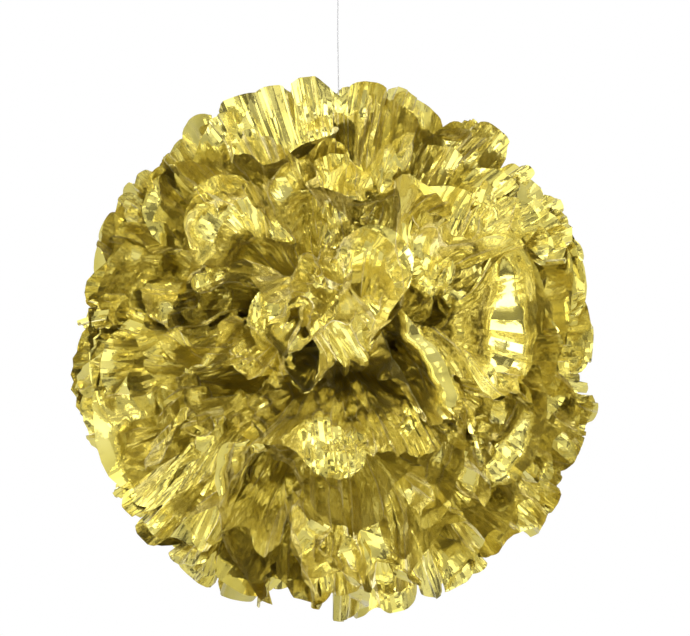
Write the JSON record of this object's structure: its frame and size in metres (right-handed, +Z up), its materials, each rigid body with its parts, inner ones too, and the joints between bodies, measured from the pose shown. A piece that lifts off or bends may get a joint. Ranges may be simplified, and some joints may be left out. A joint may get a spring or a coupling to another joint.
{
  "type": "hanging foil puff ball",
  "caption": "Round puff ball of pleated gold foil tongues, gathered by a wire tie at its centre and hung on a clear line with a loop.",
  "frame": {"origin": "centre of the ball, in the middle of the tie", "axes": "+Z up along the hanging line, -Y front, +X the ball's left as seen from behind, right as seen from the front; each sheet's hinge lines lie along X"},
  "size_m": [0.4036, 0.4048, 0.5365],
  "materials": {
    "foil": "gloss",
    "wire": "gloss",
    "nylon": "gloss"
  },
  "bodies": {
    "loop": {"hanging_loop": "nylon"},
    "knot": {"loop_knot": "nylon"},
    "line": {"hanging_line": "nylon"},
    "hub": {"tie_wire": "wire", "gathered_waists": "foil"},
    "sheet_01_front": {"sheet_01_front": "foil"},
    "sheet_01_back": {"sheet_01_back": "foil"},
    "sheet_02_front": {"sheet_02_front": "foil"},
    "sheet_02_back": {"sheet_02_back": "foil"},
    "sheet_03_front": {"sheet_03_front": "foil"},
    "sheet_03_back": {"sheet_03_back": "foil"},
    "sheet_04_front": {"sheet_04_front": "foil"},
    "sheet_04_back": {"sheet_04_back": "foil"},
    "sheet_05_front": {"sheet_05_front": "foil"},
    "sheet_05_back": {"sheet_05_back": "foil"},
    "sheet_06_front": {"sheet_06_front": "foil"},
    "sheet_06_back": {"sheet_06_back": "foil"},
    "sheet_07_front": {"sheet_07_front": "foil"},
    "sheet_07_back": {"sheet_07_back": "foil"},
    "sheet_08_front": {"sheet_08_front": "foil"},
    "sheet_08_back": {"sheet_08_back": "foil"},
    "sheet_09_front": {"sheet_09_front": "foil"},
    "sheet_09_back": {"sheet_09_back": "foil"},
    "sheet_10_front": {"sheet_10_front": "foil"},
    "sheet_10_back": {"sheet_10_back": "foil"},
    "sheet_11_front": {"sheet_11_front": "foil"},
    "sheet_11_back": {"sheet_11_back": "foil"},
    "sheet_12_front": {"sheet_12_front": "foil"},
    "sheet_12_back": {"sheet_12_back": "foil"}
  },
  "joints": [
    {"name": "swing_front_back", "type": "hinge", "parent": "loop", "child": "knot", "pos_m": [0, 0, 0.293], "axis": [1, 0, 0], "range_deg": [-40, 40]},
    {"name": "swing_side", "type": "hinge", "parent": "knot", "child": "line", "pos_m": [0, 0, 0.293], "axis": [0, 1, 0], "range_deg": [-40, 40]},
    {"name": "spin", "type": "hinge", "parent": "line", "child": "hub", "pos_m": [0, 0, 0.01004], "axis": [0, 0, 1], "continuous": true},
    {"name": "fold_12_front", "type": "hinge", "parent": "hub", "child": "sheet_12_front", "pos_m": [0, -0.0015, 0.0066], "axis": [1, 0, 0], "range_deg": [0, 76]},
    {"name": "fold_01_front", "type": "hinge", "parent": "hub", "child": "sheet_01_front", "pos_m": [0, -0.0015, -0.0066], "axis": [1, 0, 0], "range_deg": [-76.01, 0]},
    {"name": "fold_01_back", "type": "hinge", "parent": "hub", "child": "sheet_01_back", "pos_m": [0, 0.0015, -0.0066], "axis": [1, 0, 0], "range_deg": [0, 76.01]},
    {"name": "fold_02_front", "type": "hinge", "parent": "hub", "child": "sheet_02_front", "pos_m": [0, -0.0015, -0.0054], "axis": [1, 0, 0], "range_deg": [-62.19, 0]},
    {"name": "fold_02_back", "type": "hinge", "parent": "hub", "child": "sheet_02_back", "pos_m": [0, 0.0015, -0.0054], "axis": [1, 0, 0], "range_deg": [0, 62.19]},
    {"name": "fold_03_front", "type": "hinge", "parent": "hub", "child": "sheet_03_front", "pos_m": [0, -0.0015, -0.0042], "axis": [1, 0, 0], "range_deg": [-48.37, 0]},
    {"name": "fold_03_back", "type": "hinge", "parent": "hub", "child": "sheet_03_back", "pos_m": [0, 0.0015, -0.0042], "axis": [1, 0, 0], "range_deg": [0, 48.37]},
    {"name": "fold_04_front", "type": "hinge", "parent": "hub", "child": "sheet_04_front", "pos_m": [0, -0.0015, -0.003], "axis": [1, 0, 0], "range_deg": [-34.56, 0]},
    {"name": "fold_04_back", "type": "hinge", "parent": "hub", "child": "sheet_04_back", "pos_m": [0, 0.0015, -0.003], "axis": [1, 0, 0], "range_deg": [0, 34.56]},
    {"name": "fold_05_front", "type": "hinge", "parent": "hub", "child": "sheet_05_front", "pos_m": [0, -0.0015, -0.0018], "axis": [1, 0, 0], "range_deg": [-20.74, 0]},
    {"name": "fold_05_back", "type": "hinge", "parent": "hub", "child": "sheet_05_back", "pos_m": [0, 0.0015, -0.0018], "axis": [1, 0, 0], "range_deg": [0, 20.74]},
    {"name": "fold_06_front", "type": "hinge", "parent": "hub", "child": "sheet_06_front", "pos_m": [0, -0.0015, -0.0006], "axis": [1, 0, 0], "range_deg": [-6.92, 0]},
    {"name": "fold_06_back", "type": "hinge", "parent": "hub", "child": "sheet_06_back", "pos_m": [0, 0.0015, -0.0006], "axis": [1, 0, 0], "range_deg": [0, 6.92]},
    {"name": "fold_07_front", "type": "hinge", "parent": "hub", "child": "sheet_07_front", "pos_m": [0, -0.0015, 0.0006], "axis": [1, 0, 0], "range_deg": [0, 6.92]},
    {"name": "fold_07_back", "type": "hinge", "parent": "hub", "child": "sheet_07_back", "pos_m": [0, 0.0015, 0.0006], "axis": [1, 0, 0], "range_deg": [-6.92, 0]},
    {"name": "fold_08_front", "type": "hinge", "parent": "hub", "child": "sheet_08_front", "pos_m": [0, -0.0015, 0.0018], "axis": [1, 0, 0], "range_deg": [0, 20.74]},
    {"name": "fold_08_back", "type": "hinge", "parent": "hub", "child": "sheet_08_back", "pos_m": [0, 0.0015, 0.0018], "axis": [1, 0, 0], "range_deg": [-20.74, 0]},
    {"name": "fold_09_front", "type": "hinge", "parent": "hub", "child": "sheet_09_front", "pos_m": [0, -0.0015, 0.003], "axis": [1, 0, 0], "range_deg": [0, 34.56]},
    {"name": "fold_09_back", "type": "hinge", "parent": "hub", "child": "sheet_09_back", "pos_m": [0, 0.0015, 0.003], "axis": [1, 0, 0], "range_deg": [-34.56, 0]},
    {"name": "fold_10_front", "type": "hinge", "parent": "hub", "child": "sheet_10_front", "pos_m": [0, -0.0015, 0.0042], "axis": [1, 0, 0], "range_deg": [0, 48.37]},
    {"name": "fold_10_back", "type": "hinge", "parent": "hub", "child": "sheet_10_back", "pos_m": [0, 0.0015, 0.0042], "axis": [1, 0, 0], "range_deg": [-48.37, 0]},
    {"name": "fold_11_front", "type": "hinge", "parent": "hub", "child": "sheet_11_front", "pos_m": [0, -0.0015, 0.0054], "axis": [1, 0, 0], "range_deg": [0, 62.19]},
    {"name": "fold_11_back", "type": "hinge", "parent": "hub", "child": "sheet_11_back", "pos_m": [0, 0.0015, 0.0054], "axis": [1, 0, 0], "range_deg": [-62.19, 0]},
    {"name": "fold_12_back", "type": "hinge", "parent": "hub", "child": "sheet_12_back", "pos_m": [0, 0.0015, 0.0066], "axis": [1, 0, 0], "range_deg": [-76.01, 0]}
  ],
  "couplings": [
    {"joint": "fold_01_front", "follows": "fold_12_front", "ratio": -1},
    {"joint": "fold_01_back", "follows": "fold_12_front", "ratio": 1},
    {"joint": "fold_02_front", "follows": "fold_12_front", "ratio": -0.81818},
    {"joint": "fold_02_back", "follows": "fold_12_front", "ratio": 0.81818},
    {"joint": "fold_03_front", "follows": "fold_12_front", "ratio": -0.63636},
    {"joint": "fold_03_back", "follows": "fold_12_front", "ratio": 0.63636},
    {"joint": "fold_04_front", "follows": "fold_12_front", "ratio": -0.45455},
    {"joint": "fold_04_back", "follows": "fold_12_front", "ratio": 0.45455},
    {"joint": "fold_05_front", "follows": "fold_12_front", "ratio": -0.27273},
    {"joint": "fold_05_back", "follows": "fold_12_front", "ratio": 0.27273},
    {"joint": "fold_06_front", "follows": "fold_12_front", "ratio": -0.090909},
    {"joint": "fold_06_back", "follows": "fold_12_front", "ratio": 0.090909},
    {"joint": "fold_07_front", "follows": "fold_12_front", "ratio": 0.090909},
    {"joint": "fold_07_back", "follows": "fold_12_front", "ratio": -0.090909},
    {"joint": "fold_08_front", "follows": "fold_12_front", "ratio": 0.27273},
    {"joint": "fold_08_back", "follows": "fold_12_front", "ratio": -0.27273},
    {"joint": "fold_09_front", "follows": "fold_12_front", "ratio": 0.45455},
    {"joint": "fold_09_back", "follows": "fold_12_front", "ratio": -0.45455},
    {"joint": "fold_10_front", "follows": "fold_12_front", "ratio": 0.63636},
    {"joint": "fold_10_back", "follows": "fold_12_front", "ratio": -0.63636},
    {"joint": "fold_11_front", "follows": "fold_12_front", "ratio": 0.81818},
    {"joint": "fold_11_back", "follows": "fold_12_front", "ratio": -0.81818},
    {"joint": "fold_12_back", "follows": "fold_12_front", "ratio": -1}
  ]
}
